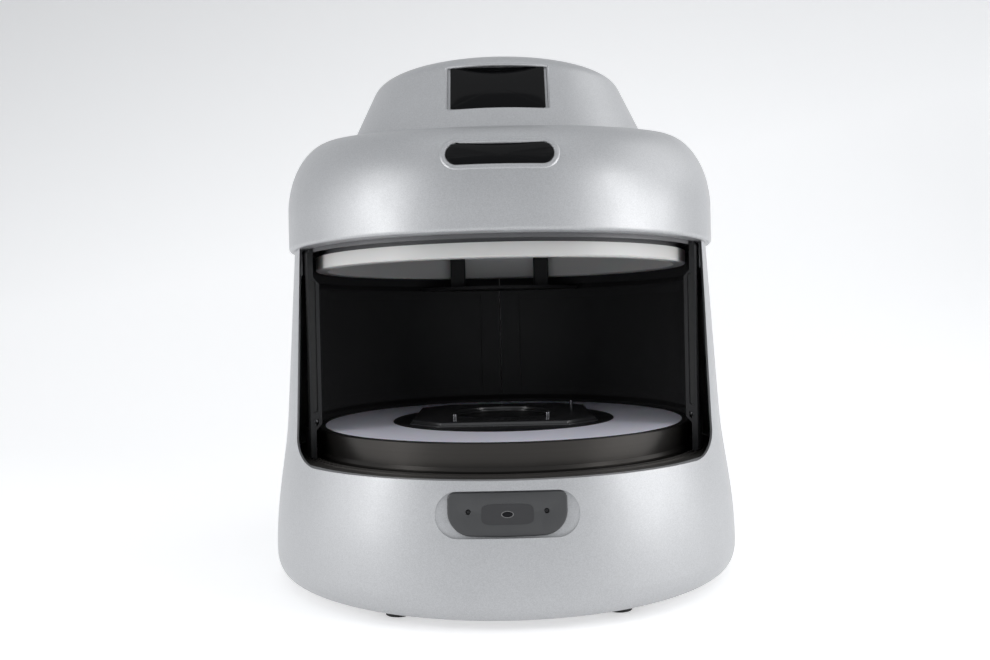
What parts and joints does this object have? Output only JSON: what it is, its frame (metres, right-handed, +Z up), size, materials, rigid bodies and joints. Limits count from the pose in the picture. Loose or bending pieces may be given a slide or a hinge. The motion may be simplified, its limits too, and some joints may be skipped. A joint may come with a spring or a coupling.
{
  "type": "colony counter",
  "caption": "Bench colony counter: round imaging chamber with two sliding doors, lit stage with lift-off dish adapter, ring light, and camera under a dome.",
  "frame": {"origin": "on the bench, under the centre of the stage: the centre of the underside of the whole instrument", "axes": "+Z up; the open front of the chamber faces -Y; +X is the right side seen from the front"},
  "size_m": [0.3854, 0.3854, 0.4118],
  "materials": {
    "silver_paint": "satin metallic paint",
    "black_moulding": "fine-grained matt black",
    "black_gloss": "polished black",
    "dark_plate": "satin dark grey",
    "dark_aluminium": "dark anodised, turned",
    "opal_plastic": "opal diffuser",
    "stage_white": "opal diffuser, faint lavender",
    "track_grey": "dark grey",
    "grey_metal": "satin grey",
    "hood_grey": "matt light grey",
    "steel": "bright",
    "rubber": "matt",
    "circuit": "green solder mask",
    "chip_black": "moulded",
    "led_white": "clear",
    "lens_glass": "coated",
    "socket_black": "moulded",
    "rocker_black": "moulded",
    "brass_pins": "plated",
    "green_lens": "smoked"
  },
  "bodies": {
    "root": {"base_plate": "grey_metal", "base_shell": "silver_paint", "board_chips": "chip_black", "board_standoffs": "brass_pins", "camera_body": "grey_metal", "camera_deck": "grey_metal", "canopy_badge": "black_gloss", "canopy_shell": "silver_paint", "ceiling_plate": "track_grey", "clamp_screws": "steel", "control_board": "circuit", "deck_pillars": "steel", "dome_badge": "black_gloss", "dome_cover": "silver_paint", "drum_pillars": "steel", "drum_screws": "steel", "feet": "rubber", "foot_screws": "steel", "front_plate": "dark_plate", "inlet_pins": "brass_pins", "lamp_board": "circuit", "lamp_leds": "led_white", "lamp_spacers": "steel", "lens_barrel": "dark_aluminium", "lens_glass": "lens_glass", "light_hood": "hood_grey", "light_ring": "opal_plastic", "lower_track": "track_grey", "panel_screws": "steel", "plate_fasteners": "steel", "plate_screws": "steel", "power_inlet": "socket_black", "power_supply": "grey_metal", "rear_panel": "track_grey", "rear_shelf": "black_moulding", "ring_board": "circuit", "ring_carrier": "grey_metal", "ring_leds": "led_white", "shelf_posts": "black_moulding", "stage_column": "black_moulding", "stage_diffuser": "stage_white", "stage_drum": "dark_aluminium", "status_lens": "green_lens", "switch_frame": "socket_black", "upper_track": "track_grey", "usb_socket": "steel"},
    "left_door": {"left_door": "black_moulding", "left_door_seal": "rubber", "left_door_screw": "steel", "left_door_glides": "rubber"},
    "right_door": {"right_door": "black_moulding", "right_door_seal": "rubber", "right_door_screw": "steel", "right_door_glides": "rubber"},
    "stage_insert": {"stage_insert": "black_moulding"},
    "dish_adapter": {"dish_adapter": "black_moulding", "locating_pins": "steel"},
    "focus_ring": {"focus_ring": "dark_aluminium"},
    "iris_ring": {"iris_ring": "dark_aluminium"},
    "switch_rocker": {"switch_rocker": "rocker_black"}
  },
  "joints": [
    {"name": "left_door_slide", "type": "hinge", "parent": "root", "child": "left_door", "pos_m": [0, 0, 0.18], "axis": [0, 0, 1], "range_deg": [0, 62.2]},
    {"name": "right_door_slide", "type": "hinge", "parent": "root", "child": "right_door", "pos_m": [0, 0, 0.18], "axis": [0, 0, -1], "range_deg": [0, 62.2]},
    {"name": "insert_lift", "type": "slide", "parent": "root", "child": "stage_insert", "axis": [0, 0, 1], "range_m": [0, 0.03]},
    {"name": "adapter_lift", "type": "slide", "parent": "stage_insert", "child": "dish_adapter", "axis": [0, 0, 1], "range_m": [0, 0.06]},
    {"name": "focus_turn", "type": "hinge", "parent": "root", "child": "focus_ring", "pos_m": [0, 0, 0.3], "axis": [0, 0, 1], "range_deg": [0, 270]},
    {"name": "iris_turn", "type": "hinge", "parent": "root", "child": "iris_ring", "pos_m": [0, 0, 0.288], "axis": [0, 0, 1], "range_deg": [0, 90]},
    {"name": "power_rock", "type": "hinge", "parent": "root", "child": "switch_rocker", "pos_m": [-0.004, 0.18, 0.051], "axis": [-1, 0, 0], "range_deg": [0, 15]}
  ]
}
